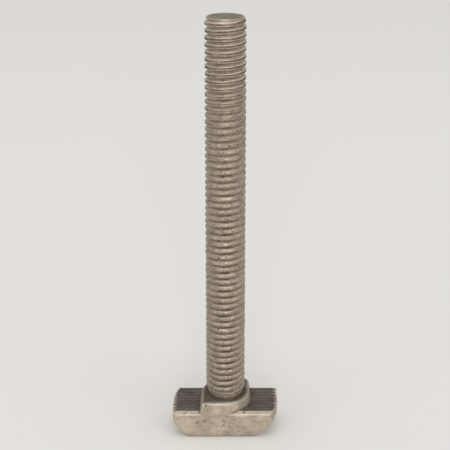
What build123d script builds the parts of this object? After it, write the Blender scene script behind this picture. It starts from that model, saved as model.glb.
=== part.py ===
from build123d import *
import math
import os

# T slot bolt, M6, with a hammer head for slots 8 mm wide. All sizes are in millimetres.
# It stands on its head: Z runs up the shank from the flat underside, X runs along the head.
# The head and neck look the same after half a turn about Z.

# Head
head_length = 16.25  # tip to tip, which is also the circle that the two round corners turn on
bar_width = 7.9  # head and neck alike, 0.1 under the slot's mouth
wing_height = 4.45  # underside to the tops of the clamping ridges
slope_rise = 2.45  # height of the slope under each end, before its corner is rounded
slope_reach = 2.2  # how far that slope cuts in
slope_top_radius = 1.6
square_corner_radius = 0.45
long_edge_bevel = 0.45
foot_edge_bevel = 0.25

# Clamping ridges, which run along the head between V grooves
groove_count = 8
groove_spacing = 0.9
groove_mouth = 0.5
groove_depth = 0.2

# Neck
neck_height = 1.6  # above the ridge tops
neck_corner_radius = 0.3
neck_top_bevel = 0.25

# Shank
clamp_length = 60.1  # ridge tops to the end of the shank
collar_diameter = 5.4  # plain ring between the neck and the thread
collar_height = 1.0
run_out = 1.3  # length over which the thread grows out of the collar
end_diameter = 5.25

# Thread, right hand
thread_diameter = 5.9  # over the crests
thread_pitch = 1.0
thread_depth = 0.6
crest_flat = 0.2
facets_per_turn = 24

neck_top = wing_height + neck_height
collar_top = neck_top + collar_height
bolt_top = wing_height + clamp_length
crest_radius = thread_diameter / 2
root_radius = crest_radius - thread_depth
collar_radius = collar_diameter / 2
end_radius = end_diameter / 2
ROOM = 0.1  # how far a cutting body reaches past the surface that it trims


def turned(outline):
    """A body turned about Z from an outline of radius and height."""
    return revolve(make_face(Plane.XZ * Polyline(*outline, close=True)), Axis.Z)


def head_profile():
    """Half of the head's side view, from its middle to one end."""
    profile = make_face(
        Polyline(
            (0, 0),
            (head_length / 2 - slope_reach, 0),
            (head_length / 2, slope_rise),
            (head_length / 2, wing_height),
            (0, wing_height),
            close=True,
        )
    )
    slope_top = profile.vertices().sort_by_distance((head_length / 2, slope_rise))[0]
    return Plane.XZ * fillet(slope_top, slope_top_radius)


def half_head():
    """Half of the head, with its square corner behind and its round corner in front."""
    profile = head_profile()
    square = extrude(profile, amount=bar_width / 2, dir=(0, 1, 0))
    round_end = revolve(profile, Axis.Z, -90)
    return square + round_end


def bar_section():
    """The head bar's cross section, with its long edges bevelled."""
    side = bar_width / 2
    half = [
        (side - foot_edge_bevel, 0),
        (side, foot_edge_bevel),
        (side, wing_height - long_edge_bevel),
        (side - long_edge_bevel, wing_height),
    ]
    other_half = [(-across, height) for across, height in reversed(half)]
    return make_face(Plane.YZ * Polyline(*half, *other_half, close=True))


def head():
    """The head bar, with slopes under its ends and two of its four corners rounded."""
    half = half_head()
    bar = half + Rot(0, 0, 180) * half
    bar &= Box(head_length, bar_width, 2 * wing_height)
    corners = [
        edge
        for edge in bar.edges()
        if abs(abs(edge.center().Y) - bar_width / 2) < 0.01
        and edge.center().X * edge.center().Y > 0
        and abs(edge.center().X) > head_length / 2 - slope_reach
    ]
    bar = fillet(corners, square_corner_radius)
    return bar & extrude(bar_section(), amount=head_length / 2, both=True)


def ridge_grooves():
    """V grooves that leave a row of ridges over the whole top of the head."""
    vee = make_face(
        Plane.YZ
        * Polyline(
            (-groove_mouth / 2, wing_height),
            (0, wing_height - groove_depth),
            (groove_mouth / 2, wing_height),
            close=True,
        )
    )
    groove = extrude(vee, amount=head_length / 2 + ROOM, both=True)
    middle = (groove_count - 1) / 2
    return [Pos(0, (index - middle) * groove_spacing, 0) * groove for index in range(groove_count)]


def neck():
    """The square neck that keeps the bolt from turning in the slot, flush with the head's long sides."""
    bottom = wing_height - long_edge_bevel - groove_depth
    block = Pos(0, 0, bottom) * Box(
        bar_width, bar_width, neck_top - bottom, align=(Align.CENTER, Align.CENTER, Align.MIN)
    )
    upright = block.edges().filter_by(Axis.Z)
    square_corners = [edge for edge in upright if edge.center().X * edge.center().Y > 0]
    block = fillet(square_corners, neck_corner_radius)
    column = Pos(0, 0, bottom) * Cylinder(
        bar_width / 2, neck_top - bottom, align=(Align.CENTER, Align.CENTER, Align.MIN)
    )
    quarter = Pos(bar_width / 2, -bar_width / 2, 0) * Box(bar_width, bar_width, 4 * neck_top)
    round_quarters = quarter + Rot(0, 0, 180) * quarter
    block = (block - round_quarters) + (column & round_quarters)
    top_edges = [edge for edge in block.edges() if abs(edge.center().Z - neck_top) < 0.01]
    return chamfer(top_edges, neck_top_bevel)


def screw_step(index):
    """The move along the screw that carries the first facet to a later one."""
    share = index / facets_per_turn
    return Pos(0, 0, share * thread_pitch) * Rot(0, 0, 360 * share)


def strip_facet(lower, upper):
    """One facet of a strip that winds up the bar between two points of radius and height."""
    rise = thread_pitch / facets_per_turn
    angle = 2 * math.pi / facets_per_turn
    rows = [
        [(radius, 0, height), (radius * math.cos(angle), radius * math.sin(angle), height + rise)]
        for radius, height in (lower, upper)
    ]
    # a weight of one over the radius keeps the facet's diagonals straight
    weights = [[1 / radius, 1 / radius] for radius, height in (lower, upper)]
    return Face.make_bezier_surface(rows, weights)


def ramp_facet():
    """One facet of the ramp that closes the bar between its axis and its crest."""
    rise = thread_pitch / facets_per_turn
    angle = 2 * math.pi / facets_per_turn
    axis_edge = Edge.make_line((0, 0, 0), (0, 0, rise))
    end = (crest_radius * math.cos(angle), crest_radius * math.sin(angle), rise)
    crest_edge = Edge.make_line((crest_radius, 0, 0), end)
    return Face.make_surface_from_curves(axis_edge, crest_edge)


def threaded_bar():
    """A bar threaded all along, from inside the collar to past the end of the bolt."""
    section = (
        (crest_radius, 0),
        (crest_radius, crest_flat),
        (root_radius, (thread_pitch + crest_flat) / 2),
        (crest_radius, thread_pitch),
    )
    bottom = collar_top - 2 * thread_pitch
    turns = math.ceil((bolt_top - bottom) / thread_pitch) + 1
    strips = [strip_facet(lower, upper) for lower, upper in zip(section, section[1:])]
    faces = [
        screw_step(index) * strip for index in range(turns * facets_per_turn) for strip in strips
    ]
    ramp = ramp_facet()
    step = make_face(Plane.XZ * Polyline(*section, (0, thread_pitch), (0, 0), close=True)).face()
    for height in (0, turns * thread_pitch):
        faces += [Pos(0, 0, height) * screw_step(index) * ramp for index in range(facets_per_turn)]
        faces.append(Pos(0, 0, height) * step)
    return Pos(0, 0, bottom) * Solid(Shell(faces))


def shank():
    """The threaded bar with its bevelled end, growing out of a plain collar."""
    start_slope = (crest_radius - collar_radius) / run_out
    outer_radius = crest_radius + ROOM
    trimmed = threaded_bar() & turned(
        (
            (0, collar_top - ROOM),
            (collar_radius - ROOM * start_slope, collar_top - ROOM),
            (outer_radius, collar_top + (outer_radius - collar_radius) / start_slope),
            (outer_radius, bolt_top - (outer_radius - end_radius)),
            (end_radius, bolt_top),
            (0, bolt_top),
        )
    )
    fill_slope = (collar_radius - root_radius) / run_out
    inner_radius = root_radius - ROOM
    collar = turned(
        (
            (0, wing_height),
            (collar_radius, wing_height),
            (collar_radius, collar_top),
            (inner_radius, collar_top + (collar_radius - inner_radius) / fill_slope),
            (0, collar_top + (collar_radius - inner_radius) / fill_slope),
        )
    )
    return trimmed + collar


os.makedirs("parts", exist_ok=True)
bolt = (head() - ridge_grooves()) + neck() + shank()
export_step(bolt, "parts/t_slot_bolt.step")
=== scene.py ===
import logging
import math
from dataclasses import asdict, dataclass
from enum import Enum

import bmesh
import bpy
import numpy as np
from mathutils import Euler, Matrix, Vector


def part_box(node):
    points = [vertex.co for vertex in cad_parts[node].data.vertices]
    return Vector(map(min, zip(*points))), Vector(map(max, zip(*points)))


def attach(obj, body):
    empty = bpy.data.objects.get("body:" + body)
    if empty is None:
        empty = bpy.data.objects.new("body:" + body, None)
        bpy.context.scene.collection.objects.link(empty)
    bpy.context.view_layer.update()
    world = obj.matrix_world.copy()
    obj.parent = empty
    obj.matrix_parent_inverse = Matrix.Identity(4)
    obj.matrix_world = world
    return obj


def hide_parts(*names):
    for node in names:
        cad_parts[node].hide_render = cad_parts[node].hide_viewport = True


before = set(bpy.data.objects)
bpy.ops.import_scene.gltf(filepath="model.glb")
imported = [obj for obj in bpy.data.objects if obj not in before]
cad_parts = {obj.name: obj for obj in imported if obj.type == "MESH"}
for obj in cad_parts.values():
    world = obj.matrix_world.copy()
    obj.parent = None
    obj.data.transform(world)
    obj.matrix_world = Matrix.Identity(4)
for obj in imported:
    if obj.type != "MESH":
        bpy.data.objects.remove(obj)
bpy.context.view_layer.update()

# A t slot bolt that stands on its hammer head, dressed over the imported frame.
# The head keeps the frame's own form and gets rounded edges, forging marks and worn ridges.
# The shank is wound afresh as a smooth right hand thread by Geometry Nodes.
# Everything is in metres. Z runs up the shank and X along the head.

logging.basicConfig(level=logging.INFO, format="%(name)s: %(message)s")
log = logging.getLogger("bolt")

MM = 0.001
NODE = "t_slot_bolt"
BODY = "root"

Colour = tuple[float, float, float]
Socket = bpy.types.NodeSocket
Value = float | Socket | tuple[float, ...]
Span = tuple[Value, Value]


class Grain(Enum):
    """The way that fine scratches and streaks run on a surface, as a stretch of the pattern."""

    ALONG_HEAD = (0.16, 1.0, 0.7)
    ROUND_SHANK = (0.35, 0.35, 1.6)


class Layers(Enum):
    """How many finer layers a noise has, and how strong they are."""

    PLAIN = (1.0, 0.5)
    RAGGED = (2.0, 0.5)
    LUMPY = (2.0, 0.6)
    UNEVEN = (3.0, 0.55)
    PATCHY = (3.0, 0.6)
    GRAINY = (4.0, 0.65)


class Mark(Enum):
    """Names of the point attributes that the finishes read."""

    # edge wear, with painted highlights on the bevels and on the thread's flanks
    EDGE = "edge"
    # painted shade in hollows and grooves, a painted shadow round the shank's foot, and the darkened end
    HOLLOW = "hollow"
    # dark scale, with painted shade on upward faces, and a darkening towards the head's foot
    SCALE = "scale"


# ---------------------------------------------------------------- node helpers


class Sums:
    """Adds nodes to a node tree, so that a rule can be written as a sum."""

    def __init__(self, tree: bpy.types.NodeTree) -> None:
        """Keeps the tree that the nodes are added to."""
        self.tree = tree

    def put(self, socket: Socket, value: Value) -> None:
        """Links a socket to an input, or writes a plain value into it.

        Args:
            socket: the input that takes the value.
            value: an output socket or a plain value.
        """
        if isinstance(value, Socket):
            self.tree.links.new(value, socket)
        else:
            socket.default_value = value

    def add(
        self, kind: str, values: dict[str, Value], group: bpy.types.NodeTree | None = None
    ) -> bpy.types.Node:
        """Adds a node and fills its inputs.

        Args:
            kind: Blender's name of the node's type.
            values: sockets or plain values by input name.
            group: the shared group that the node places, if it places one.

        Returns:
            The node.
        """
        node = self.tree.nodes.new(kind)
        if group:
            node.node_tree = group
        for name, value in values.items():
            self.put(node.inputs[name], value)
        return node

    def math(self, operation: str, *values: Value, clamp: bool = False) -> Socket:
        """Adds one Math node.

        Args:
            operation: Blender's name of the operation.
            values: its inputs in order, as sockets or numbers.
            clamp: whether the result is held between 0 and 1.

        Returns:
            The node's output socket.
        """
        node = self.tree.nodes.new("ShaderNodeMath")
        node.operation = operation
        node.use_clamp = clamp
        for socket, value in zip(node.inputs, values):
            self.put(socket, value)
        return node.outputs[0]

    def times(self, first: Value, second: Value) -> Socket:
        """Multiplies two values."""
        return self.math("MULTIPLY", first, second)

    def minus(self, first: Value, second: Value) -> Socket:
        """Takes the second value from the first."""
        return self.math("SUBTRACT", first, second)

    def rest(self, value: Value) -> Socket:
        """Takes a value from one."""
        return self.math("SUBTRACT", 1.0, value)

    def gain(self, share: Value, change: Value, start: Value) -> Socket:
        """Adds a share of a change to a start."""
        return self.math("MULTIPLY_ADD", share, change, start)

    def ramp(self, value: Value, low: Value, high: Value, smooth: bool = True) -> Socket:
        """Maps a value to 0 at low and 1 at high, held at both ends.

        Args:
            value: what is mapped.
            low: the value that gives 0.
            high: the value that gives 1.
            smooth: whether the change eases in and out.

        Returns:
            The mapped value's socket.
        """
        node = self.add("ShaderNodeMapRange", {"Value": value, "From Min": low, "From Max": high})
        node.interpolation_type = "SMOOTHSTEP" if smooth else "LINEAR"
        return node.outputs["Result"]

    def close_to(self, value: Value, middle: Value, reach: Span) -> Socket:
        """Gives 1 close to a middle and 0 farther off, between the two distances of a reach."""
        apart = self.math("ABSOLUTE", self.minus(value, middle))
        return self.rest(self.ramp(apart, *reach))

    def noise(self, place: Value, scale: Value, layers: Layers) -> Socket:
        """Adds a Noise Texture.

        Args:
            place: the coordinates that it reads.
            scale: patches per metre.
            layers: its finer layers.

        Returns:
            The noise value's socket.
        """
        detail, roughness = layers.value
        values = {"Vector": place, "Scale": scale, "Detail": detail, "Roughness": roughness}
        return self.add("ShaderNodeTexNoise", values).outputs[0]

    def round_axis(self, angle: Value, radius: Value, level: Value) -> Socket:
        """Places a point round the upright axis.

        Args:
            angle: how far round it is.
            radius: how far out it is.
            level: how high it is.

        Returns:
            The place's socket.
        """
        along = self.times(self.math("COSINE", angle), radius)
        across = self.times(self.math("SINE", angle), radius)
        return self.add("ShaderNodeCombineXYZ", {"X": along, "Y": across, "Z": level}).outputs[0]

    def mix(self, share: Value, first: Colour | Socket, second: Colour | Socket) -> Socket:
        """Mixes two colours.

        Args:
            share: how much of the second colour shows.
            first: a colour or a colour socket.
            second: a colour or a colour socket.

        Returns:
            The mixed colour's socket.
        """
        node = self.tree.nodes.new("ShaderNodeMix")
        node.data_type = "RGBA"
        slots = [socket for socket in node.inputs if socket.type == "RGBA"]
        self.put(node.inputs["Factor"], share)
        for socket, colour in zip(slots, (first, second)):
            self.put(socket, colour if isinstance(colour, Socket) else (*colour, 1.0))
        return next(socket for socket in node.outputs if socket.type == "RGBA")

    def dressed(self, geometry: Socket, material: Socket) -> None:
        """Gives a Geometry Nodes tree's mesh its material and puts it out.

        Args:
            geometry: the mesh.
            material: the material's socket.
        """
        solid = self.add("GeometryNodeRealizeInstances", {"Geometry": geometry})
        coat = self.add("GeometryNodeSetMaterial", {"Geometry": solid.outputs[0], "Material": material})
        self.add("NodeGroupOutput", {"Geometry": coat.outputs[0]})


def group_with(
    kind: str, name: str, inputs: dict[str, tuple[str, object]], outputs: dict[str, str]
) -> bpy.types.NodeTree:
    """Makes an empty node group with named sockets.

    Args:
        kind: the type of node tree.
        name: the group's name.
        inputs: socket type and starting value by socket name.
        outputs: socket type by socket name.

    Returns:
        The node group.
    """
    tree = bpy.data.node_groups.new(name, kind)
    for label, (socket_type, value) in inputs.items():
        socket = tree.interface.new_socket(label, in_out="INPUT", socket_type=socket_type)
        if value is not None:
            socket.default_value = value
    for label, socket_type in outputs.items():
        tree.interface.new_socket(label, in_out="OUTPUT", socket_type=socket_type)
    return tree


def add_tree(piece: bpy.types.Object, tree: bpy.types.NodeTree, values: dict[str, object]) -> None:
    """Puts a Geometry Nodes tree on a piece and sets its named inputs.

    Args:
        piece: the object that carries the modifier.
        tree: the node group.
        values: input values by socket name.
    """
    modifier = piece.modifiers.new(tree.name, "NODES")
    modifier.node_group = tree
    for item in tree.interface.items_tree:
        if item.item_type == "SOCKET" and item.in_out == "INPUT" and item.name in values:
            modifier[item.identifier] = values[item.name]


# ---------------------------------------------------------------- mesh helpers


def plain_mesh(piece: bpy.types.Object) -> None:
    """Swaps a piece's live modifiers for the mesh that they make.

    Args:
        piece: the object to finish.
    """
    graph = bpy.context.evaluated_depsgraph_get()
    mesh = bpy.data.meshes.new_from_object(piece.evaluated_get(graph))
    piece.modifiers.clear()
    mesh.name = piece.name
    piece.data = mesh


def point_places(mesh: bpy.types.Mesh) -> np.ndarray:
    """Reads a mesh's points.

    Args:
        mesh: the mesh to read.

    Returns:
        One row of X, Y and Z for each point.
    """
    places = np.empty(len(mesh.vertices) * 3)
    mesh.vertices.foreach_get("co", places)
    return places.reshape(-1, 3)


def move_points(mesh: bpy.types.Mesh, places: np.ndarray) -> None:
    """Moves a mesh's points to new places."""
    mesh.vertices.foreach_set("co", places.ravel())
    mesh.update()


def point_normals(mesh: bpy.types.Mesh) -> np.ndarray:
    """Reads the directions that a mesh's points face.

    Args:
        mesh: the mesh to read.

    Returns:
        One row of X, Y and Z for each point.
    """
    normals = np.empty(len(mesh.vertices) * 3)
    mesh.vertex_normals.foreach_get("vector", normals)
    return normals.reshape(-1, 3)


def write_mark(mesh: bpy.types.Mesh, mark: Mark, values: np.ndarray) -> None:
    """Stores a mark on a mesh's points.

    Args:
        mesh: the mesh that gets the attribute.
        mark: which mark it is.
        values: one value for each point, held between 0 and 1.
    """
    layer = mesh.attributes.new(mark.value, "FLOAT", "POINT")
    layer.data.foreach_set("value", np.clip(values, 0, 1))


def standing_out(mesh: bpy.types.Mesh, rounds: int) -> np.ndarray:
    """Measures how far each point stands out of its surroundings.

    Args:
        mesh: the mesh to measure.
        rounds: how far round a point its surroundings reach.

    Returns:
        One height for each point, below zero in a hollow.
    """
    count = len(mesh.vertices)
    places = point_places(mesh)
    ends = np.empty(len(mesh.edges) * 2, dtype=np.int64)
    mesh.edges.foreach_get("vertices", ends)
    first, second = ends.reshape(-1, 2).T
    links = np.maximum(np.bincount(ends, minlength=count), 1)

    def spread(values: np.ndarray) -> np.ndarray:
        """Averages a value over each point's neighbours."""
        total = np.bincount(first, values[second], count) + np.bincount(second, values[first], count)
        return total / links

    around = places
    for _ in range(rounds + 1):
        around = np.stack([spread(around[:, axis]) for axis in range(3)], axis=1)
    return ((places - around) * point_normals(mesh)).sum(axis=1)


# ---------------------------------------------------------------- finishes


def mottle_group() -> bpy.types.NodeTree:
    """Patches and fine grain of dull steel.

    Returns:
        A shader node group that puts out two masks and a height.
    """
    tree = group_with(
        "ShaderNodeTree",
        "steel_mottle",
        {
            "Place": ("NodeSocketVector", None),
            "Patch Size": ("NodeSocketFloat", 2.0 * MM),
            "Grain Size": ("NodeSocketFloat", 0.2 * MM),
        },
        {"Patch": "NodeSocketFloat", "Grain": "NodeSocketFloat", "Height": "NodeSocketFloat"},
    )
    patch_edge: Span = (0.38, 0.62)
    grain_edge: Span = (0.4, 0.6)
    patch_height = 0.6
    grain_height = 0.4
    sums = Sums(tree)
    given = tree.nodes.new("NodeGroupInput").outputs
    result = tree.nodes.new("NodeGroupOutput").inputs
    patch = sums.noise(given["Place"], sums.math("DIVIDE", 1.0, given["Patch Size"]), Layers.PATCHY)
    grain = sums.noise(given["Place"], sums.math("DIVIDE", 1.0, given["Grain Size"]), Layers.GRAINY)
    sums.put(result["Patch"], sums.ramp(patch, *patch_edge))
    sums.put(result["Grain"], sums.ramp(grain, *grain_edge))
    sums.put(result["Height"], sums.gain(patch, patch_height, sums.times(grain, grain_height)))
    return tree


def pit_group() -> bpy.types.NodeTree:
    """Small dark pits, thinly and unevenly strewn.

    Returns:
        A shader node group that puts out a mask.
    """
    tree = group_with(
        "ShaderNodeTree",
        "forging_pits",
        {
            "Place": ("NodeSocketVector", None),
            "Spacing": ("NodeSocketFloat", 0.9 * MM),
            "Width": ("NodeSocketFloat", 0.3),
        },
        {"Mask": "NodeSocketFloat"},
    )
    rim_fineness = 3.0  # ragged bites in a pit's rim, per pit
    rim_bite = 0.35
    field_fineness = 0.45  # fields with and without pits, per pit
    field_edge: Span = (0.47, 0.64)
    floor_share = 0.3  # of a pit's width, at full darkness
    sums = Sums(tree)
    given = tree.nodes.new("NodeGroupInput").outputs
    result = tree.nodes.new("NodeGroupOutput").inputs
    scale = sums.math("DIVIDE", 1.0, given["Spacing"])
    cells = sums.add("ShaderNodeTexVoronoi", {"Vector": given["Place"], "Scale": scale})
    ragged = sums.noise(given["Place"], sums.times(scale, rim_fineness), Layers.RAGGED)
    chosen = sums.noise(given["Place"], sums.times(scale, field_fineness), Layers.PLAIN)
    distance = sums.gain(sums.minus(ragged, 0.5), rim_bite, cells.outputs["Distance"])
    near = sums.rest(sums.ramp(distance, sums.times(given["Width"], floor_share), given["Width"]))
    sums.put(result["Mask"], sums.times(near, sums.ramp(chosen, *field_edge)))
    return tree


def wear_group() -> bpy.types.NodeTree:
    """Breaks up the edge mark, which holds wear and painted highlights, and the hollow mark, which holds
    painted shade and darkening, so that they look uneven.

    Returns:
        A shader node group that puts out two masks.
    """
    tree = group_with(
        "ShaderNodeTree",
        "rubbed_edges",
        {
            "Edge": ("NodeSocketFloat", 0.0),
            "Hollow": ("NodeSocketFloat", 0.0),
            "Break": ("NodeSocketFloat", 0.5),
            "Edge Strength": ("NodeSocketFloat", 1.0),
            "Hollow Strength": ("NodeSocketFloat", 1.0),
        },
        {"Worn": "NodeSocketFloat", "Dirt": "NodeSocketFloat"},
    )
    least_rub = 0.35
    rub_swing = 0.9
    most_dirt = 1.15
    dirt_swing = -0.5
    sums = Sums(tree)
    given = tree.nodes.new("NodeGroupInput").outputs
    result = tree.nodes.new("NodeGroupOutput").inputs
    # the edge mark becomes wear with painted highlights, the hollow mark becomes painted shade and
    # darkening
    rubbed = sums.times(given["Edge"], sums.gain(given["Break"], rub_swing, least_rub))
    caught = sums.times(given["Hollow"], sums.gain(given["Break"], dirt_swing, most_dirt))
    sums.put(result["Worn"], sums.math("MULTIPLY", rubbed, given["Edge Strength"], clamp=True))
    sums.put(result["Dirt"], sums.math("MULTIPLY", caught, given["Hollow Strength"], clamp=True))
    return tree


@dataclass(frozen=True)
class EffectGroups:
    """The shader node groups that the finishes share."""

    mottle: bpy.types.NodeTree
    pits: bpy.types.NodeTree
    # the group that breaks up wear with painted highlights, and painted shade
    wear: bpy.types.NodeTree

    @classmethod
    def make(cls) -> "EffectGroups":
        """Builds each group once."""
        return cls(mottle_group(), pit_group(), wear_group())


@dataclass(frozen=True)
class SteelFinish:
    """Dull steel with patches, pits, streaks, edge wear with painted highlights, and painted shade in its
    hollows.
    """

    name: str
    grain: Grain
    light: Colour = (0.49, 0.41, 0.32)
    dark: Colour = (0.27, 0.227, 0.175)
    # the colour of edge wear and of painted highlights
    worn: Colour = (0.5, 0.44, 0.365)
    # the colour of painted shade in hollows, of the pits and of the darkened end
    dirt: Colour = (0.11, 0.085, 0.065)
    # the colour of dark scale, which on upward faces also paints their shade
    scale: Colour = (0.047, 0.042, 0.037)
    least_scale: float = 0.75  # how fully the scale, with its painted shade, covers the lightest steel
    metallic: float = 0.55
    roughness: float = 0.55
    roughness_swing: float = 0.12
    worn_polish: float = 0.12
    dirt_dullness: float = 0.2
    patch_size: float = 2.4 * MM
    grain_size: float = 0.22 * MM
    streak_size: float = 0.35 * MM
    streak_edge: Span = (0.4, 0.62)
    wear_edge: Span = (0.35, 0.65)
    patch_share: float = 0.4
    grain_share: float = 0.3
    pit_spacing: float = 0.85 * MM
    pit_width: float = 0.46
    pit_strength: float = 0.7
    edge_strength: float = 1.0
    hollow_strength: float = 1.0
    bump: float = 0.25
    bump_depth: float = 0.1 * MM
    streak_height: float = 0.5
    pit_height: float = -0.6

    def material(self, groups: EffectGroups) -> bpy.types.Material:
        """Builds the material.

        Args:
            groups: the shared effect groups.

        Returns:
            The finished material.
        """
        made = bpy.data.materials.new(self.name)
        made.use_nodes = True
        tree = made.node_tree
        sums = Sums(tree)
        shader = tree.nodes["Principled BSDF"]
        place = tree.nodes.new("ShaderNodeTexCoord").outputs["Object"]
        stretch = sums.add("ShaderNodeMapping", {"Vector": place, "Scale": self.grain.value})
        streak = sums.noise(stretch.outputs["Vector"], 1 / self.streak_size, Layers.PATCHY)
        sizes = {"Patch Size": self.patch_size, "Grain Size": self.grain_size}
        mottle = sums.add("ShaderNodeGroup", {"Place": place, **sizes}, groups.mottle)
        sizes = {"Spacing": self.pit_spacing, "Width": self.pit_width}
        pits = sums.add("ShaderNodeGroup", {"Place": place, **sizes}, groups.pits)
        marks = {}
        for mark in Mark:
            node = tree.nodes.new("ShaderNodeAttribute")
            node.attribute_name = mark.value
            marks[mark] = node.outputs["Fac"]
        wear_values = {
            "Edge": marks[Mark.EDGE],
            "Hollow": marks[Mark.HOLLOW],
            "Break": sums.ramp(streak, *self.wear_edge),
            "Edge Strength": self.edge_strength,
            "Hollow Strength": self.hollow_strength,
        }
        wear = sums.add("ShaderNodeGroup", wear_values, groups.wear)
        worn = wear.outputs["Worn"]

        streak_share = 1.0 - self.patch_share - self.grain_share
        blend = sums.times(mottle.outputs["Patch"], self.patch_share)
        blend = sums.gain(mottle.outputs["Grain"], self.grain_share, blend)
        blend = sums.gain(sums.ramp(streak, *self.streak_edge), streak_share, blend)
        # scale with painted shade on upward faces, and the darkening towards the head's foot
        crust = sums.times(marks[Mark.SCALE], sums.gain(blend, 1.0 - self.least_scale, self.least_scale))
        # pits are dark marks, and the hollow mark adds painted shade
        pitted = sums.times(pits.outputs["Mask"], self.pit_strength)
        stained = sums.math("MAXIMUM", wear.outputs["Dirt"], pitted)
        colour = sums.mix(blend, self.light, self.dark)
        colour = sums.mix(crust, colour, self.scale)
        # edge wear together with painted highlights
        colour = sums.mix(worn, colour, self.worn)
        sums.put(shader.inputs["Base Color"], sums.mix(stained, colour, self.dirt))

        smoothest = self.roughness - self.roughness_swing / 2
        rough = sums.gain(mottle.outputs["Grain"], self.roughness_swing, smoothest)
        rough = sums.gain(stained, self.dirt_dullness, rough)
        sums.put(shader.inputs["Roughness"], sums.gain(worn, -self.worn_polish, rough))
        shader.inputs["Metallic"].default_value = self.metallic

        height = sums.gain(streak, self.streak_height, mottle.outputs["Height"])
        height = sums.gain(pits.outputs["Mask"], self.pit_height, height)
        values = {"Strength": self.bump, "Distance": self.bump_depth, "Height": height}
        sums.put(shader.inputs["Normal"], sums.add("ShaderNodeBump", values).outputs["Normal"])
        return made


# ---------------------------------------------------------------- pieces


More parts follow.
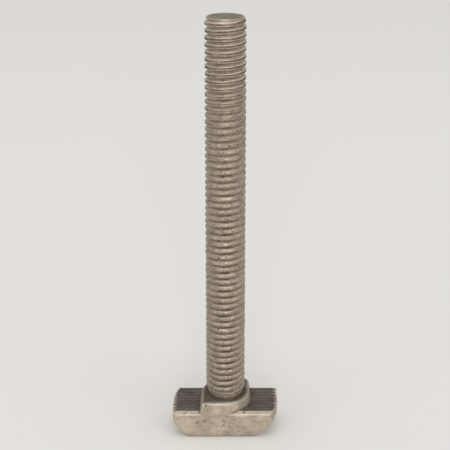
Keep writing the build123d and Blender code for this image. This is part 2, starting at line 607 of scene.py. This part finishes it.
@dataclass
class HammerHead:
    """The head and square neck, up to a flat that hides inside the shank's collar."""

    cut_height: float = 6.3 * MM
    neck_top: float = 6.05 * MM
    neck_rim: float = 0.15 * MM  # the neck's flat starts this far under its top
    neck_half: float = 3.95 * MM
    neck_reach: float = 4.1 * MM
    worn_corner: float = 0.8 * MM
    draft: float = 0.32 * MM
    wing_top: float = 4.45 * MM
    ridge_inset: float = 3.55 * MM
    ridge_end: float = 7.9 * MM
    ridge_end_fade: float = 0.4 * MM
    ridge_side_fade: float = 0.1 * MM
    groove_depth: float = 0.26 * MM
    groove_left: float = 0.5
    scale_tilt: float = 0.45  # scale, with painted shade, lies on faces that look up more than this
    scale_fade: float = 0.3
    neck_scale: float = 0.8
    foot_radius: float = 2.75 * MM
    # how far the painted shadow on the neck reaches from the shank's foot
    foot_dirt_reach: float = 0.7 * MM
    # darker towards the bottom of the head
    foot_stain: float = 0.5
    stain_height: float = 0.9 * MM
    edge_wear: float = 0.42
    edge_rounds: int = 3
    edge_height: float = 0.02 * MM
    bevel_wear: float = 0.5
    bevel_tilt: float = 0.7
    bevel_spread: float = 0.16
    bevel_fullness: float = 1.6
    weld: float = 0.0005 * MM
    voxel: float = 0.09 * MM
    softening: int = 2
    softening_share: float = 0.5
    dent_depth: float = 0.03 * MM
    dent_size: float = 1.6 * MM
    dent_edge: Span = (0.35, 0.8)
    seed: float = 3.0

    def blank(self) -> bpy.types.Object:
        """Copies the frame's solid, merges its triangles and cuts it off at the collar.

        Returns:
            A closed object in metres.
        """
        form = bmesh.new()
        form.from_mesh(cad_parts[NODE].data)
        bmesh.ops.remove_doubles(form, verts=form.verts, dist=self.weld)
        everything = form.verts[:] + form.edges[:] + form.faces[:]
        cut = bmesh.ops.bisect_plane(
            form,
            geom=everything,
            plane_co=(0, 0, self.cut_height),
            plane_no=(0, 0, 1),
            clear_outer=True,
        )
        rim = [item for item in cut["geom_cut"] if isinstance(item, bmesh.types.BMEdge)]
        bmesh.ops.edgeloop_fill(form, edges=rim)
        mesh = bpy.data.meshes.new("head")
        form.to_mesh(mesh)
        form.free()
        head = bpy.data.objects.new("hammer_head", mesh)
        bpy.context.scene.collection.objects.link(head)
        return head

    def soften(self, head: bpy.types.Object) -> None:
        """Remeshes the head evenly, so that its edges and corners come out slightly rounded.

        Args:
            head: the head's blank.
        """
        # the modifier's smallest voxel is a tenth of a millimetre, so it works on a larger copy
        head.data.transform(Matrix.Scale(1 / MM, 4))
        remesh = head.modifiers.new("even", "REMESH")
        remesh.mode = "VOXEL"
        remesh.voxel_size = self.voxel / MM
        smooth = head.modifiers.new("soft", "SMOOTH")
        smooth.factor = self.softening_share
        smooth.iterations = self.softening
        plain_mesh(head)
        head.data.transform(Matrix.Scale(MM, 4))

    def below_ridges(self, places: np.ndarray) -> np.ndarray:
        """Finds how far each point lies below the ridge tops at its place along the head.

        Args:
            places: the head's points.

        Returns:
            One depth for each point, below zero on the neck.
        """
        slots = (np.abs(places[:, 0]) / self.voxel).astype(int)
        low = places[:, 2] < self.wing_top + self.voxel / 4
        inner = (np.abs(places[:, 1]) < self.ridge_inset) & low
        tops = np.zeros(slots.max() + 1)
        np.maximum.at(tops, slots[inner], places[inner, 2])
        tops[: int(self.neck_reach / self.voxel)] = self.wing_top
        return tops[slots] - places[:, 2]

    def on_wings(self, places: np.ndarray) -> np.ndarray:
        """Tells how fully each point belongs to the ridged part of a wing.

        Args:
            places: the head's points.

        Returns:
            One share for each point.
        """
        depth = self.below_ridges(places)
        along, across = np.abs(places[:, 0]), np.abs(places[:, 1])
        share = ((depth > -self.voxel / 2) & (depth < self.groove_depth)).astype(float)
        share *= np.clip((self.ridge_end - along) / self.ridge_end_fade, 0, 1)
        return share * np.clip((self.ridge_inset - across) / self.ridge_side_fade, 0, 1)

    def on_neck(self, places: np.ndarray) -> np.ndarray:
        """Tells which points lie on top of the neck."""
        return places[:, 2] > self.neck_top - self.neck_rim

    def wear_grooves(self, head: bpy.types.Object) -> None:
        """Fills the grooves between the ridges up in part, as wear and scale have done.

        Args:
            head: the softened head.
        """
        places = point_places(head.data)
        filled = self.on_wings(places) * (1 - self.groove_left)
        places[:, 2] += np.maximum(self.below_ridges(places), 0) * filled
        move_points(head.data, places)

    def wear_corner(self, head: bpy.types.Object) -> None:
        """Rounds the neck's far square corner, which has more wear than the near one.

        Args:
            head: the softened head.
        """
        places = point_places(head.data)
        middle = self.neck_half - self.worn_corner
        out = places[:, :2] - middle
        reach = np.maximum(np.hypot(out[:, 0], out[:, 1]), self.voxel / 10)
        shrink = np.maximum(out[:, 0], out[:, 1]) / reach
        height = np.clip((places[:, 2] - self.wing_top) / (2 * self.voxel), 0, 1)
        share = np.where((out > 0).all(axis=1), height, 0)
        places[:, :2] += out * ((shrink - 1) * share)[:, None]
        move_points(head.data, places)

    def slope_walls(self, head: bpy.types.Object) -> None:
        """Leans the neck's left and right walls inwards, as the forging die left them.

        Args:
            head: the softened head.
        """
        places = point_places(head.data)
        climb = np.clip((places[:, 2] - self.wing_top) / (self.neck_top - self.wing_top), 0, 1)
        places[:, 0] *= 1 - climb * self.draft / self.neck_half
        move_points(head.data, places)

    def mark_scale(self, mesh: bpy.types.Mesh) -> None:
        """Marks dark scale, with painted shade, on the upward faces of the wings and the neck, and a
        darkening towards the head's foot.

        Args:
            mesh: the finished head.
        """
        places = point_places(mesh)
        # upward faces get scale together with their painted shade
        upward = np.clip((point_normals(mesh)[:, 2] - self.scale_tilt) / self.scale_fade, 0, 1)
        topmost = np.maximum(self.on_wings(places), self.neck_scale * self.on_neck(places))
        # the head is painted darker towards its bottom
        foot = self.foot_stain * np.clip(1 - places[:, 2] / self.stain_height, 0, 1)
        write_mark(mesh, Mark.SCALE, np.maximum(topmost * upward, foot))

    def rubbed_bevels(self, mesh: bpy.types.Mesh) -> np.ndarray:
        """Finds the bevels along the wings and round the neck, which get a painted highlight.

        Args:
            mesh: the finished head.

        Returns:
            One share for each point.
        """
        # faces that tilt up at the bevels' slope face the front light and get a painted highlight
        off_tilt = np.abs(point_normals(mesh)[:, 2] - self.bevel_tilt) / self.bevel_spread
        sloped = np.clip(self.bevel_fullness - off_tilt, 0, 1)
        return self.bevel_wear * sloped * (1 - self.on_wings(point_places(mesh)))

    def caught_dirt(self, mesh: bpy.types.Mesh) -> np.ndarray:
        """Finds the painted shadow on the neck round the foot of the shank.

        Args:
            mesh: the finished head.

        Returns:
            One share for each point.
        """
        places = point_places(mesh)
        away = np.hypot(places[:, 0], places[:, 1]) - self.foot_radius
        return np.clip(1 - away / self.foot_dirt_reach, 0, 1) * self.on_neck(places)

    def mark_wear(self, mesh: bpy.types.Mesh) -> None:
        """Marks the edges with wear and painted bevel highlights, and the hollows and the shank's foot
        with painted shade.

        Args:
            mesh: the finished head.
        """
        height = standing_out(mesh, self.edge_rounds) / self.edge_height
        write_mark(mesh, Mark.EDGE, np.maximum(height * self.edge_wear, self.rubbed_bevels(mesh)))
        # hollows get painted shade, and the shank's foot a painted shadow
        write_mark(mesh, Mark.HOLLOW, np.maximum(-height, self.caught_dirt(mesh)))

    def dents(self) -> bpy.types.NodeTree:
        """The unevenness that forging leaves on every face.

        Returns:
            A Geometry Nodes tree that moves points along their normals.
        """
        tree = group_with(
            "GeometryNodeTree",
            "forged_unevenness",
            {
                "Geometry": ("NodeSocketGeometry", None),
                "Depth": ("NodeSocketFloat", self.dent_depth),
                "Size": ("NodeSocketFloat", self.dent_size),
                "Seed": ("NodeSocketFloat", self.seed),
                "Material": ("NodeSocketMaterial", None),
            },
            {"Geometry": "NodeSocketGeometry"},
        )
        sums = Sums(tree)
        given = tree.nodes.new("NodeGroupInput").outputs
        shift = tree.nodes.new("ShaderNodeVectorMath")
        shift.operation = "ADD"
        sums.put(shift.inputs[0], tree.nodes.new("GeometryNodeInputPosition").outputs[0])
        sums.put(shift.inputs[1], given["Seed"])
        wave = sums.noise(shift.outputs[0], sums.math("DIVIDE", 1.0, given["Size"]), Layers.UNEVEN)
        # the marks go inwards only, so the head keeps its outer sizes
        depth = sums.times(sums.ramp(wave, *self.dent_edge), sums.times(given["Depth"], -1.0))
        move = tree.nodes.new("ShaderNodeVectorMath")
        move.operation = "SCALE"
        sums.put(move.inputs[0], tree.nodes.new("GeometryNodeInputNormal").outputs[0])
        sums.put(move.inputs["Scale"], depth)
        values = {"Geometry": given["Geometry"], "Offset": move.outputs[0]}
        placed = sums.add("GeometryNodeSetPosition", values)
        sums.dressed(placed.outputs["Geometry"], given["Material"])
        return tree

    def build(self, material: bpy.types.Material) -> bpy.types.Object:
        """Makes the finished head.

        Args:
            material: its finish.

        Returns:
            The object, with a plain mesh.
        """
        head = self.blank()
        self.soften(head)
        self.wear_grooves(head)
        self.wear_corner(head)
        self.slope_walls(head)
        add_tree(head, self.dents(), {"Material": material})
        plain_mesh(head)
        head.data.shade_smooth()
        self.mark_wear(head.data)
        self.mark_scale(head.data)
        return head


@dataclass(frozen=True)
class Winding:
    """What holds at each point of the strip that is wound up the shank."""

    sums: Sums
    given: bpy.types.bpy_prop_collection  # the tree's inputs
    strip: Socket
    angle: Socket
    level: Socket
    high: Socket  # 0 at the foot and 1 at the top
    over: Socket  # pitches past the end, where the strip folds in to the axis
    phase: Socket  # pitches above the middle of a crest
    down: Socket  # 0 on the crest's middle and 1 in the root's middle
    grown: Socket  # 0 on the collar and 1 on the full thread
    to_top: Socket
    swell: Socket
    drift: Socket
    lump: Socket


@dataclass
class ThreadedShank:
    """The collar, the run out and the right hand thread up to the bevelled end.

    Places on the thread's section are phases: 0 and 1 are the middle of a crest, 0.5 is the root.
    """

    top: float
    foot: float = 5.75 * MM
    pitch: float = 1.0 * MM
    crest_radius: float = 3.02 * MM
    top_loss: float = 0.07 * MM
    root_radius: float = 2.53 * MM
    crest_share: float = 0.36
    root_share: float = 0.08
    crown: float = 0.25
    flank_ease: float = 0.6
    crest_at: float = 0.13 * MM
    wander: float = 0.12  # pitches
    collar_radius: float = 2.7 * MM
    collar_top: float = 6.5 * MM
    collar_lumps: float = 1.8
    run_out: float = 0.9 * MM
    undercut: float = 0.2 * MM
    undercut_rise: float = 1.8
    neck_top: float = 6.05 * MM
    end_radius: float = 2.62 * MM
    end_taper: float = 0.4
    end_fade: float = 0.8  # pitches
    rounding: float = 0.06 * MM
    unevenness: float = 0.06 * MM
    uneven_edge: Span = (0.4, 0.75)
    swell_size: float = 1.5 * MM
    drift_size: float = 5.0 * MM
    lumps: float = 0.15 * MM
    lump_size: float = 0.55 * MM
    lump_sink: float = 0.12
    root_lumps: float = 0.3
    # painted shade in the grooves
    dirt_at: float = 0.36
    dirt_climb: float = 0.17
    dirt_core: float = 0.03
    dirt_reach: float = 0.2
    dirt_narrowing: float = 0.06
    dirt_falloff: float = 4.0
    # strength of the painted highlights on the flanks and of the end's lip
    rubbed: float = 0.58
    flanks_at: Span = (0.3, 0.74)
    flank_reach: Span = (0.05, 0.16)
    # a painted highlight line on the crests near the top
    line_at: float = 0.25
    line_reach: Span = (0.02, 0.1)
    line_rise: Span = (0.78, 0.93)
    collar_wear: float = 0.3
    seam_depth: float = 0.05 * MM
    seam_core: float = 0.06
    seam_width: float = 0.4
    seam_from: float = 44.0 * MM
    seam_full: float = 57.0 * MM
    seam_edge: Span = (0.25, 0.5)
    marks_fade: float = 0.5  # pitches
    # the end face and the last groove are painted darker
    end_stain: float = 0.42
    stain_edge: Span = (0.0, 0.15)
    lip_height: float = 0.16  # pitches
    lip_edge: Span = (0.02, 0.12)
    last_groove_at: float = 0.3  # pitches
    last_groove_reach: Span = (0.03, 0.14)
    weld: float = 0.002 * MM
    spare_turns: float = 3.0  # what lies past the foot and the end folds in to the axis and closes it
    turns_below: float = 2.0  # how many of them lie below the foot
    steps_per_turn: int = 80
    steps_per_pitch: int = 18
    seed: float = 7.0

    def empty_tree(self) -> bpy.types.NodeTree:
        """Makes the tree with its named inputs.

        Returns:
            A Geometry Nodes tree without nodes.
        """
        names = (
            "pitch", "crest_radius", "root_radius", "top_loss", "crest_share", "root_share", "crown",
            "crest_at", "foot", "top", "collar_radius", "collar_top", "run_out", "end_radius",
            "end_taper", "undercut", "neck_top", "rounding", "unevenness", "lumps", "dirt_at",
            "dirt_climb", "end_stain", "rubbed", "collar_wear", "seam_depth", "seam_width",
            "seam_from", "seam_full", "seed",
        )
        values = asdict(self)
        inputs = {name.replace("_", " ").title(): ("NodeSocketFloat", values[name]) for name in names}
        inputs |= {
            "Steps per Turn": ("NodeSocketInt", self.steps_per_turn),
            "Steps per Pitch": ("NodeSocketInt", self.steps_per_pitch),
            "Material": ("NodeSocketMaterial", None),
        }
        return group_with("GeometryNodeTree", "wound_thread", inputs, {"Geometry": "NodeSocketGeometry"})

    def winding(self, tree: bpy.types.NodeTree) -> Winding:
        """Lays a strip one pitch wide and winds it up the shank.

        Args:
            tree: the tree that gets the nodes.

        Returns:
            The values that hold along the strip.
        """
        sums = Sums(tree)
        given = tree.nodes.new("NodeGroupInput").outputs
        pitch = given["Pitch"]
        height = sums.minus(given["Top"], given["Foot"])
        turns = sums.math("ADD", sums.math("CEIL", sums.math("DIVIDE", height, pitch)), self.spare_turns)
        grid_sizes = {
            "Size X": turns,
            "Size Y": 1.0,
            "Vertices X": sums.gain(turns, given["Steps per Turn"], 1.0),
            "Vertices Y": sums.math("ADD", given["Steps per Pitch"], 1.0),
        }
        grid = sums.add("GeometryNodeMeshGrid", grid_sizes)
        flat = tree.nodes.new("GeometryNodeInputPosition").outputs[0]
        spot = sums.add("ShaderNodeSeparateXYZ", {"Vector": flat})
        turn = sums.gain(turns, 0.5, spot.outputs["X"])
        across = sums.math("ADD", spot.outputs["Y"], 0.5)
        start = sums.gain(pitch, -self.turns_below, given["Foot"])
        wound = sums.gain(sums.math("ADD", turn, across), pitch, start)
        level = sums.math("MINIMUM", sums.math("MAXIMUM", wound, given["Foot"]), given["Top"])
        over = sums.math("DIVIDE", sums.math("ABSOLUTE", sums.minus(wound, level)), pitch)

        # the uneven places are read on the bare round of the shank
        angle = sums.times(turn, math.tau)
        bare = sums.round_axis(angle, given["Crest Radius"], sums.math("ADD", level, given["Seed"]))
        swell = sums.noise(bare, 1 / self.swell_size, Layers.PLAIN)
        drift = sums.noise(bare, 1 / self.drift_size, Layers.PLAIN)
        lump = sums.minus(sums.noise(bare, 1 / self.lump_size, Layers.LUMPY), 0.5)

        shifted = sums.minus(level, given["Crest At"])
        shifted = sums.gain(sums.minus(swell, 0.5), sums.times(pitch, self.wander), shifted)
        phase = sums.math("FRACT", sums.minus(sums.math("DIVIDE", shifted, pitch), turn))
        down = sums.rest(sums.math("ABSOLUTE", sums.gain(phase, 2.0, -1.0)))
        collar_top = given["Collar Top"]
        thread_start = sums.math("ADD", collar_top, given["Run Out"])
        return Winding(
            sums=sums,
            given=given,
            strip=grid.outputs["Mesh"],
            angle=angle,
            level=level,
            high=sums.ramp(level, given["Foot"], given["Top"], smooth=False),
            over=over,
            phase=phase,
            down=down,
            grown=sums.ramp(level, collar_top, thread_start, smooth=False),
            to_top=sums.minus(given["Top"], level),
            swell=swell,
            drift=drift,
            lump=lump,
        )

    def seam(self, at: Winding) -> Socket:
        """Finds the seam along the crests near the end, which are not fully rolled.

        Args:
            at: the strip's values.

        Returns:
            The seam's share.
        """
        sums, given = at.sums, at.given
        seam = sums.rest(sums.ramp(at.down, self.seam_core, given["Seam Width"]))
        rise = sums.ramp(at.level, given["Seam From"], given["Seam Full"], smooth=False)
        return sums.times(sums.times(seam, rise), sums.ramp(at.drift, *self.seam_edge))

    def radius(self, at: Winding, seam: Socket) -> Socket:
        """Works out how far each point lies from the axis.

        Args:
            at: the strip's values.
            seam: the seam's share.

        Returns:
            The radius.
        """
        sums, given = at.sums, at.given
        crest, root, collar, end = (given[f"{name} Radius"] for name in ("Crest", "Root", "Collar", "End"))
        undercut = given["Undercut"]

        # the thread's section
        flank = sums.ramp(at.down, given["Crest Share"], sums.rest(given["Root Share"]), smooth=False)
        eased = sums.ramp(flank, 0.0, 1.0)
        flank = sums.gain(sums.minus(eased, flank), self.flank_ease, flank)
        crown = sums.times(sums.times(at.down, at.down), given["Crown"])
        fall = sums.gain(sums.rest(given["Crown"]), flank, crown)
        radius = sums.minus(crest, sums.times(fall, sums.minus(crest, root)))
        radius = sums.minus(radius, sums.times(seam, given["Seam Depth"]))
        radius = sums.minus(radius, sums.times(at.high, given["Top Loss"]))

        # rubs that take a little off the crests here and there, and lumps that rolling left
        rise = sums.rest(fall)
        rub = sums.times(sums.ramp(at.swell, *self.uneven_edge), given["Unevenness"])
        radius = sums.minus(radius, sums.times(rub, rise))
        rough = sums.times(sums.minus(at.lump, self.lump_sink), given["Lumps"])
        radius = sums.gain(rough, sums.gain(rise, 1 - self.root_lumps, self.root_lumps), radius)

        # the run out: crests grow out of the collar and grooves sink into it
        bulge = sums.gain(rough, self.collar_lumps, collar)
        ceiling = sums.gain(at.grown, sums.minus(crest, collar), bulge)
        floor = sums.gain(at.grown, sums.minus(root, collar), bulge)
        radius = sums.math("SMOOTH_MIN", radius, ceiling, sums.times(given["Rounding"], at.grown))
        radius = sums.math("MAXIMUM", radius, floor)

        # the collar rounds in where it meets the neck
        neck_top = given["Neck Top"]
        foot_gap = sums.ramp(at.level, neck_top, sums.gain(undercut, self.undercut_rise, neck_top))
        radius = sums.minus(radius, sums.times(sums.rest(foot_gap), undercut))

        # the bevelled end, where the last groove fades out
        faded = sums.rest(sums.ramp(at.to_top, 0.0, sums.times(given["Pitch"], self.end_fade)))
        radius = sums.math("MAXIMUM", radius, sums.gain(faded, sums.minus(end, root), root))
        bevel = sums.gain(at.to_top, given["End Taper"], end)
        radius = sums.math("SMOOTH_MIN", radius, bevel, given["Rounding"])
        return sums.times(radius, sums.math("SUBTRACT", 1.0, at.over, clamp=True))

    def dirt(self, at: Winding, seam: Socket) -> Socket:
        """Finds the painted shade in the grooves and the seam, and the darkening on the end.

        Args:
            at: the strip's values.
            seam: the seam's share.

        Returns:
            The hollow mark, of painted shade and darkening.
        """
        sums, given = at.sums, at.given
        # painted shade on the groove's upper flank, moving up the section towards the top
        middle = sums.gain(at.high, given["Dirt Climb"], given["Dirt At"])
        reach = sums.gain(at.high, -self.dirt_narrowing, self.dirt_reach)
        settled = sums.close_to(at.phase, middle, (self.dirt_core, reach))
        # painted shade in the grooves: strongest at the front and the back, fading towards the sides
        facing = sums.math("POWER", sums.math("ABSOLUTE", sums.math("SINE", at.angle)), self.dirt_falloff)
        # the seam in the crests gets painted shade too
        settled = sums.math("MAXIMUM", sums.times(settled, facing), seam)
        dirty = sums.times(settled, self.marking(at))

        # the end face and the last groove are painted darker
        capped = sums.times(sums.ramp(at.over, *self.stain_edge), given["End Stain"])
        from_end = sums.math("DIVIDE", at.to_top, given["Pitch"])
        last = sums.close_to(from_end, self.last_groove_at, self.last_groove_reach)
        dirty = sums.math("MAXIMUM", dirty, capped)
        return sums.math("MAXIMUM", dirty, sums.times(last, given["End Stain"]))

    def shine(self, at: Winding) -> Socket:
        """Finds what is painted brighter: painted highlights on the flanks and a painted highlight line
        near the top, and wear on the collar, the last crests and the end's lip.

        Args:
            at: the strip's values.

        Returns:
            The mark of the edges.
        """
        sums, given = at.sums, at.given
        # painted highlights on the flanks on each side of the crest
        above, below = (sums.close_to(at.phase, place, self.flank_reach) for place in self.flanks_at)
        rubbed = sums.times(sums.math("ADD", above, below), given["Rubbed"])
        # a painted highlight line on the crests near the top
        line = sums.close_to(at.phase, self.line_at, self.line_reach)
        rubbed = sums.gain(line, sums.ramp(at.high, *self.line_rise), rubbed)
        bright = sums.times(rubbed, self.marking(at))
        bright = sums.gain(sums.rest(at.grown), given["Collar Wear"], bright)

        lip = sums.rest(sums.ramp(at.to_top, 0.0, sums.times(given["Pitch"], self.lip_height)))
        lip = sums.times(lip, sums.rest(sums.ramp(at.over, *self.lip_edge)))
        return sums.gain(lip, given["Rubbed"], bright)

    def marking(self, at: Winding) -> Socket:
        """Finds where the thread carries its marks, which fade out at the collar and the end."""
        below_end = at.sums.ramp(at.to_top, 0.0, at.sums.times(at.given["Pitch"], self.marks_fade))
        return at.sums.times(at.grown, below_end)

    def tree(self) -> bpy.types.NodeTree:
        """A strip that is wound up the shank, formed, marked and welded to itself.

        Returns:
            The Geometry Nodes tree.
        """
        tree = self.empty_tree()
        at = self.winding(tree)
        sums = at.sums
        seam = self.seam(at)
        marked = at.strip
        marks = {Mark.HOLLOW: self.dirt(at, seam), Mark.EDGE: self.shine(at)}
        for mark, value in marks.items():
            store = tree.nodes.new("GeometryNodeStoreNamedAttribute")
            store.data_type = "FLOAT"
            store.domain = "POINT"
            store.inputs["Name"].default_value = mark.value
            sums.put(store.inputs["Geometry"], marked)
            sums.put(store.inputs["Value"], value)
            marked = store.outputs["Geometry"]
        place = sums.round_axis(at.angle, self.radius(at, seam), at.level)
        placed = sums.add("GeometryNodeSetPosition", {"Geometry": marked, "Position": place})
        values = {"Geometry": placed.outputs["Geometry"], "Distance": self.weld}
        welded = sums.add("GeometryNodeMergeByDistance", values)
        sums.dressed(welded.outputs["Geometry"], at.given["Material"])
        return tree

    def build(self, material: bpy.types.Material) -> bpy.types.Object:
        """Winds the thread.

        Args:
            material: its finish.

        Returns:
            The object, with a plain mesh.
        """
        shank = bpy.data.objects.new("threaded_shank", bpy.data.meshes.new("shank"))
        bpy.context.scene.collection.objects.link(shank)
        add_tree(shank, self.tree(), {"Material": material})
        plain_mesh(shank)
        shank.data.shade_smooth()
        return shank


# ---------------------------------------------------------------- studio


@dataclass(frozen=True)
class SoftLight:
    """A square soft light that faces the bolt."""

    name: str
    watts: float
    size: float
    distance: float
    azimuth: float  # degrees round from the front, to the right
    elevation: float  # degrees above the floor

    def hang(self, aim: Vector) -> None:
        """Hangs the light.

        Args:
            aim: the point that it faces.
        """
        data = bpy.data.lights.new(self.name, "AREA")
        data.energy = self.watts
        data.size = self.size
        lamp = bpy.data.objects.new(self.name, data)
        turn = Euler((math.radians(90 - self.elevation), 0, math.radians(self.azimuth)))
        lamp.rotation_euler = turn
        lamp.location = aim + turn.to_matrix() @ Vector((0, 0, self.distance))
        bpy.context.scene.collection.objects.link(lamp)


@dataclass
class Studio:
    """A pale floor, soft lights and the camera in front of the bolt."""

    floor_colour: Colour = (0.84, 0.83, 0.81)
    floor_roughness: float = 0.9
    floor_half: float = 3.0
    world_colour: Colour = (1.0, 0.98, 0.95)
    world_strength: float = 0.55
    bolt_middle: float = 30 * MM
    lights: tuple[SoftLight, ...] = (
        SoftLight("front", watts=47.0, size=1.1, distance=3.0, azimuth=0, elevation=10),
        SoftLight("overhead", watts=2.6, size=0.8, distance=1.0, azimuth=0, elevation=90),
        SoftLight("left", watts=9.0, size=2.1, distance=3.0, azimuth=-50, elevation=20),
        SoftLight("right", watts=12.6, size=2.1, distance=3.0, azimuth=50, elevation=20),
    )
    camera_distance: float = 146 * MM
    camera_height: float = 91.2 * MM
    camera_down: float = 21.44
    camera_aside: float = -0.06 * MM
    lens: float = 85.2
    sensor_width: float = 36.0
    nearest: float = 5 * MM
    farthest: float = 20.0

    def lay_floor(self) -> None:
        """Lays the floor."""
        form = bmesh.new()
        bmesh.ops.create_grid(form, x_segments=1, y_segments=1, size=self.floor_half)
        mesh = bpy.data.meshes.new("floor")
        form.to_mesh(mesh)
        form.free()
        paint = bpy.data.materials.new("floor_paint")
        paint.use_nodes = True
        shader = paint.node_tree.nodes["Principled BSDF"]
        shader.inputs["Base Color"].default_value = (*self.floor_colour, 1.0)
        shader.inputs["Roughness"].default_value = self.floor_roughness
        mesh.materials.append(paint)
        floor = bpy.data.objects.new("floor", mesh)
        bpy.context.scene.collection.objects.link(floor)

    def light_world(self) -> None:
        """Gives the world its plain light."""
        world = bpy.data.worlds.new("studio")
        world.use_nodes = True
        back = world.node_tree.nodes["Background"]
        back.inputs["Color"].default_value = (*self.world_colour, 1.0)
        back.inputs["Strength"].default_value = self.world_strength
        bpy.context.scene.world = world

    def set_camera(self) -> None:
        """Sets the camera in front of the bolt, looking a little down on it."""
        data = bpy.data.cameras.new("camera")
        data.lens = self.lens
        data.sensor_width = self.sensor_width
        data.clip_start = self.nearest
        data.clip_end = self.farthest
        camera = bpy.data.objects.new("camera", data)
        camera.location = (self.camera_aside, -self.camera_distance, self.camera_height)
        camera.rotation_euler = (math.radians(90 - self.camera_down), 0, 0)
        bpy.context.scene.collection.objects.link(camera)
        bpy.context.scene.camera = camera

    def build(self) -> None:
        """Sets up the floor, the world, the lights and the camera."""
        self.lay_floor()
        self.light_world()
        for light in self.lights:
            light.hang(Vector((0, 0, self.bolt_middle)))
        self.set_camera()
        bpy.context.scene.view_settings.view_transform = "Standard"


FORGED = SteelFinish("forged_steel", Grain.ALONG_HEAD)
ROLLED = SteelFinish(
    "rolled_thread_steel",
    Grain.ROUND_SHANK,
    light=(0.49, 0.4, 0.315),
    dark=(0.16, 0.129, 0.1),
    worn=(0.66, 0.57, 0.48),
    metallic=0.7,
    roughness=0.46,
    patch_size=1.3 * MM,
    grain_size=0.26 * MM,
    patch_share=0.25,
    grain_share=0.5,
    pit_width=0.3,
    bump=0.8,
    bump_depth=0.2 * MM,
)


def main() -> None:
    """Builds the finishes, the bolt's pieces and the studio, and ties the pieces to the frame."""
    groups = EffectGroups.make()
    head_steel = FORGED.material(groups)
    thread_steel = ROLLED.material(groups)
    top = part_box(NODE)[1][2]
    head = HammerHead().build(head_steel)
    shank = ThreadedShank(top=top).build(thread_steel)
    for piece in (head, shank):
        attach(piece, BODY)
        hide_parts(NODE)
        log.info("%s: %d faces", piece.name, len(piece.data.polygons))
    Studio().build()


if __name__ == "__main__":
    main()
